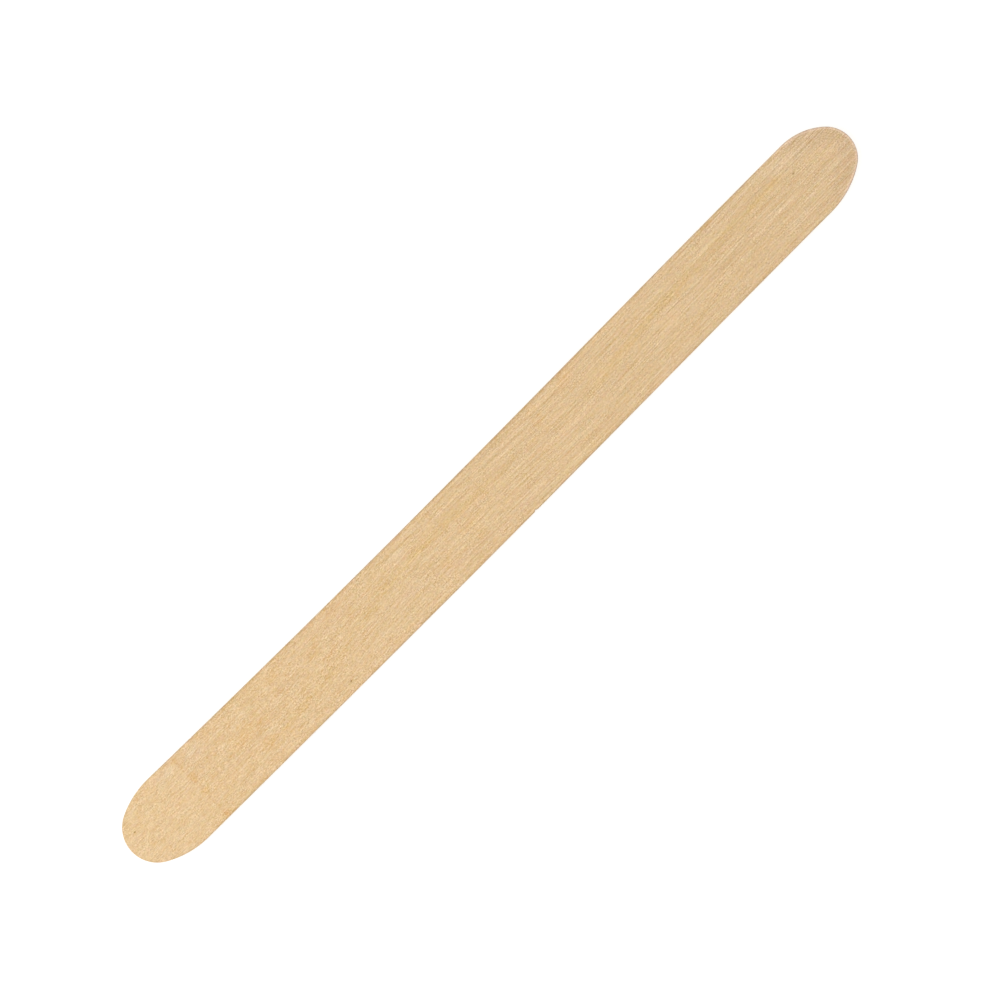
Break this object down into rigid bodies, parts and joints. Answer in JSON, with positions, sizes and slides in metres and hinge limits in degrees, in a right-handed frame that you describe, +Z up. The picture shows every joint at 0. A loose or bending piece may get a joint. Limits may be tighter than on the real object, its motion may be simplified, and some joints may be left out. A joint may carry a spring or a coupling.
{
  "type": "wooden spatula stick",
  "caption": "Flat birch stick with rounded ends and tumbled edges, a disposable spatula for spreading wax, paste or ointment.",
  "frame": {"origin": "on the underside, midway between the two tips, on the line through the middle of both ends", "axes": "+X along the stick from its broad end to its slim end, +Y across it, +Z up through its thickness, away from what it lies on"},
  "size_m": [0.1142, 0.0097, 0.002],
  "materials": {
    "birch": "bare, sanded smooth, matt"
  },
  "bodies": {
    "root": {"stick": "birch"}
  },
  "joints": []
}
